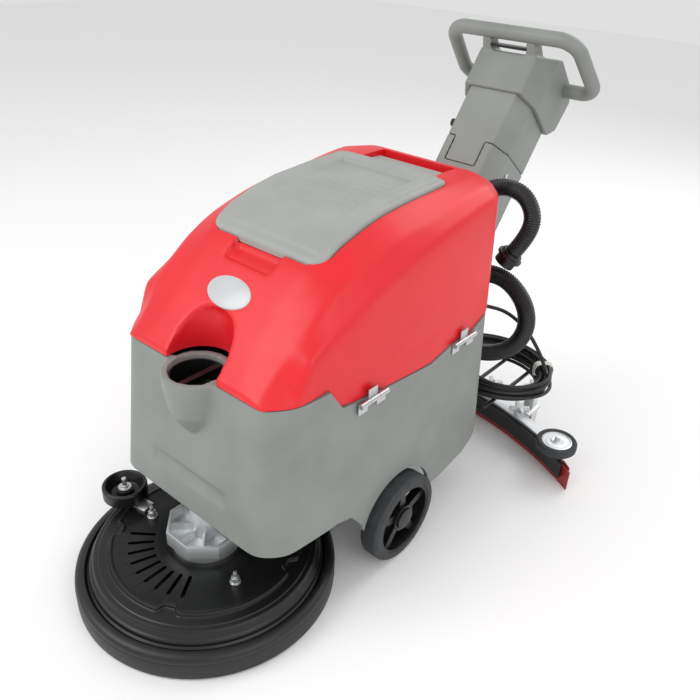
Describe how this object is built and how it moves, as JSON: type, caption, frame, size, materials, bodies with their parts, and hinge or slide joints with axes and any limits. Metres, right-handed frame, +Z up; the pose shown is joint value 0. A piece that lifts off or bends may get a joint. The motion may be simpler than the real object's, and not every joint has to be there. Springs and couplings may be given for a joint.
{
  "type": "floor scrubber",
  "caption": "Walk-behind floor scrubber with a round brush deck, tilting red recovery tank over a grey solution tank, leaning control column with a ring handle, and a curved rear squeegee.",
  "frame": {"origin": "middle of the footprint of the machine without its cord, on the floor", "axes": "+Z up from the floor, -Y the front with the brush deck, +Y the rear where the operator walks, +X the side with the tank hinges"},
  "size_m": [0.878, 1.385, 0.9935],
  "materials": {
    "grey_shell": "moulded polyethylene, light texture",
    "red_shell": "moulded polyethylene, satin gloss",
    "lid_grey": "moulded, satin",
    "handle_grey": "moulded, satin",
    "column_grey": "moulded, satin",
    "black_plastic": "moulded, fine texture",
    "black_steel": "powder coat",
    "stainless": "satin",
    "cast_aluminium": "as cast, tumbled",
    "tyre_rubber": "solid rubber",
    "skirt_rubber": "moulded",
    "blade_rubber": "smooth sheet",
    "bristle_nylon": "nylon bristle",
    "hose_black": "spiral hose",
    "cord_black": "round flexible lead",
    "tie_white": "woven tape",
    "brass_fitting": "turned",
    "badge_silver": "plain plate",
    "switch_black": "moulded",
    "panel_face": "printed plate, left plain"
  },
  "bodies": {
    "machine": {"solution_tank": "grey_shell", "vacuum_motor": "cast_aluminium", "chassis_frame": "black_steel", "wheel_axle": "stainless", "drain_valve": "brass_fitting", "lower_hinge_leaves": "stainless", "tank_hinge_pins": "stainless", "column_bracket": "column_grey", "column_neck": "column_grey", "column_screws": "stainless", "control_pod": "handle_grey", "ring_handle": "handle_grey", "control_panel": "panel_face", "suction_hose": "hose_black", "suction_cuff": "black_plastic", "power_cord": "cord_black", "cord_coil": "cord_black", "cord_tie": "tie_white", "cord_plug": "cord_black", "cord_gland": "black_plastic"},
    "strainer": {"fill_strainer": "black_plastic"},
    "wheel_left": {"tyre_left": "tyre_rubber", "hub_left": "black_plastic"},
    "wheel_right": {"tyre_right": "tyre_rubber", "hub_right": "black_plastic"},
    "caster_swivel": {"caster_fork": "stainless"},
    "caster_roller": {"caster_wheel": "tyre_rubber"},
    "deck": {"deck_cover": "black_plastic", "deck_skirt": "skirt_rubber", "deck_studs": "stainless", "gearbox_housing": "cast_aluminium", "deck_arms": "black_steel"},
    "brush": {"brush_disc": "black_plastic", "brush_bristles": "bristle_nylon"},
    "wall_roller": {"bumper_roller": "black_plastic"},
    "red_tank": {"recovery_tank": "red_shell", "badge_plate": "badge_silver", "lid_hinge_pin": "stainless", "upper_hinge_leaves": "stainless", "drain_hose": "hose_black"},
    "lid": {"recovery_lid": "lid_grey"},
    "hose_cap": {"drain_cap": "black_plastic"},
    "pedal": {"deck_pedal": "black_steel"},
    "lever": {"squeegee_lever": "black_steel"},
    "paddle": {"drive_paddle": "black_plastic"},
    "brush_rocker": {"brush_switch": "switch_black"},
    "vacuum_rocker": {"vacuum_switch": "switch_black"},
    "key": {"key_switch": "stainless"},
    "squeegee_carrier": {"squeegee_arm": "black_steel"},
    "squeegee": {"squeegee_bar": "cast_aluminium", "front_blade": "blade_rubber", "rear_blade": "blade_rubber", "squeegee_strip": "skirt_rubber", "blade_knobs": "cast_aluminium"},
    "roller_left": {"squeegee_roller_left": "tyre_rubber"},
    "roller_right": {"squeegee_roller_right": "tyre_rubber"},
    "height_wheel_left": {"support_wheel_left": "black_plastic"},
    "height_wheel_right": {"support_wheel_right": "black_plastic"},
    "knob_left": {"clamp_knob_left": "cast_aluminium"},
    "knob_right": {"clamp_knob_right": "cast_aluminium"}
  },
  "joints": [
    {"name": "left_wheel_spin", "type": "hinge", "parent": "machine", "child": "wheel_left", "pos_m": [0.247, -0.11466, 0.1], "axis": [1, 0, 0], "continuous": true},
    {"name": "right_wheel_spin", "type": "hinge", "parent": "machine", "child": "wheel_right", "pos_m": [-0.247, -0.11466, 0.1], "axis": [1, 0, 0], "continuous": true},
    {"name": "caster_turn", "type": "hinge", "parent": "machine", "child": "caster_swivel", "pos_m": [0, 0.13534, 0.092], "axis": [0, 0, 1], "continuous": true},
    {"name": "caster_spin", "type": "hinge", "parent": "caster_swivel", "child": "caster_roller", "pos_m": [0, 0.15934, 0.0375], "axis": [1, 0, 0], "continuous": true},
    {"name": "deck_lift", "type": "hinge", "parent": "machine", "child": "deck", "pos_m": [0, -0.18466, 0.15], "axis": [-1, 0, 0], "range_deg": [0, 6]},
    {"name": "pedal_press", "type": "hinge", "parent": "machine", "child": "pedal", "pos_m": [-0.151, 0.21134, 0.134], "axis": [-1, 0, 0], "range_deg": [0, 21]},
    {"name": "brush_spin", "type": "hinge", "parent": "deck", "child": "brush", "pos_m": [0, -0.42826, 0.042], "axis": [0, 0, 1], "continuous": true},
    {"name": "wall_roller_spin", "type": "hinge", "parent": "deck", "child": "wall_roller", "pos_m": [-0.21596, -0.47023, 0.132], "axis": [0, 0, 1], "continuous": true},
    {"name": "tank_tilt", "type": "hinge", "parent": "machine", "child": "red_tank", "pos_m": [0.2435, -0.11466, 0.45], "axis": [0, 1, 0], "range_deg": [0, 80]},
    {"name": "lid_open", "type": "hinge", "parent": "red_tank", "child": "lid", "pos_m": [0, 0.17534, 0.733], "axis": [-1, 0, 0], "range_deg": [0, 90]},
    {"name": "drain_cap_turn", "type": "hinge", "parent": "red_tank", "child": "hose_cap", "pos_m": [0.206, 0.30334, 0.566], "axis": [-0.4708, -0.214, -0.8559], "range_deg": [0, 90]},
    {"name": "strainer_lift", "type": "slide", "parent": "machine", "child": "strainer", "axis": [0, 0, 1], "range_m": [0, 0.06]},
    {"name": "squeegee_lift", "type": "hinge", "parent": "machine", "child": "squeegee_carrier", "pos_m": [0, 0.25734, 0.118], "axis": [1, 0, 0], "range_deg": [0, 7], "deforming": ["suction_hose"]},
    {"name": "lever_pull", "type": "hinge", "parent": "machine", "child": "lever", "pos_m": [-0.093, 0.42678, 0.63866], "axis": [-1, 0, 0], "range_deg": [0, 42]},
    {"name": "squeegee_swing", "type": "hinge", "parent": "squeegee_carrier", "child": "squeegee", "pos_m": [0, 0.47534, 0.118], "axis": [0, 0, 1], "range_deg": [-10, 10]},
    {"name": "left_roller_spin", "type": "hinge", "parent": "squeegee", "child": "roller_left", "pos_m": [0.376, 0.36902, 0.074], "axis": [0, 0, 1], "continuous": true},
    {"name": "right_roller_spin", "type": "hinge", "parent": "squeegee", "child": "roller_right", "pos_m": [-0.376, 0.36902, 0.074], "axis": [0, 0, 1], "continuous": true},
    {"name": "left_height_wheel_spin", "type": "hinge", "parent": "squeegee", "child": "height_wheel_left", "pos_m": [0.235, 0.49928, 0.025], "axis": [1, 0, 0], "continuous": true},
    {"name": "right_height_wheel_spin", "type": "hinge", "parent": "squeegee", "child": "height_wheel_right", "pos_m": [-0.235, 0.49928, 0.025], "axis": [1, 0, 0], "continuous": true},
    {"name": "left_knob_turn", "type": "hinge", "parent": "squeegee", "child": "knob_left", "pos_m": [0.133, 0.46359, 0.092], "axis": [0, 0, 1], "continuous": true},
    {"name": "right_knob_turn", "type": "hinge", "parent": "squeegee", "child": "knob_right", "pos_m": [-0.133, 0.46359, 0.092], "axis": [0, 0, 1], "continuous": true},
    {"name": "paddle_squeeze", "type": "hinge", "parent": "machine", "child": "paddle", "pos_m": [0, 0.5228, 0.9462], "axis": [1, 0, 0], "range_deg": [0, 12], "stiffness_Nm_per_rad": 0.05},
    {"name": "brush_switch_rock", "type": "hinge", "parent": "machine", "child": "brush_rocker", "pos_m": [0, 0.65152, 0.88438], "axis": [1, 0, 0], "range_deg": [-8, 8]},
    {"name": "vacuum_switch_rock", "type": "hinge", "parent": "machine", "child": "vacuum_rocker", "pos_m": [0.03, 0.65152, 0.88438], "axis": [1, 0, 0], "range_deg": [-8, 8]},
    {"name": "key_turn", "type": "hinge", "parent": "machine", "child": "key", "pos_m": [-0.042, 0.66736, 0.86911], "axis": [0, 0.6937, 0.7202], "range_deg": [0, 90]}
  ],
  "couplings": [
    {"joint": "lever_pull", "follows": "squeegee_lift", "ratio": 6},
    {"joint": "pedal_press", "follows": "deck_lift", "ratio": 3.5}
  ]
}
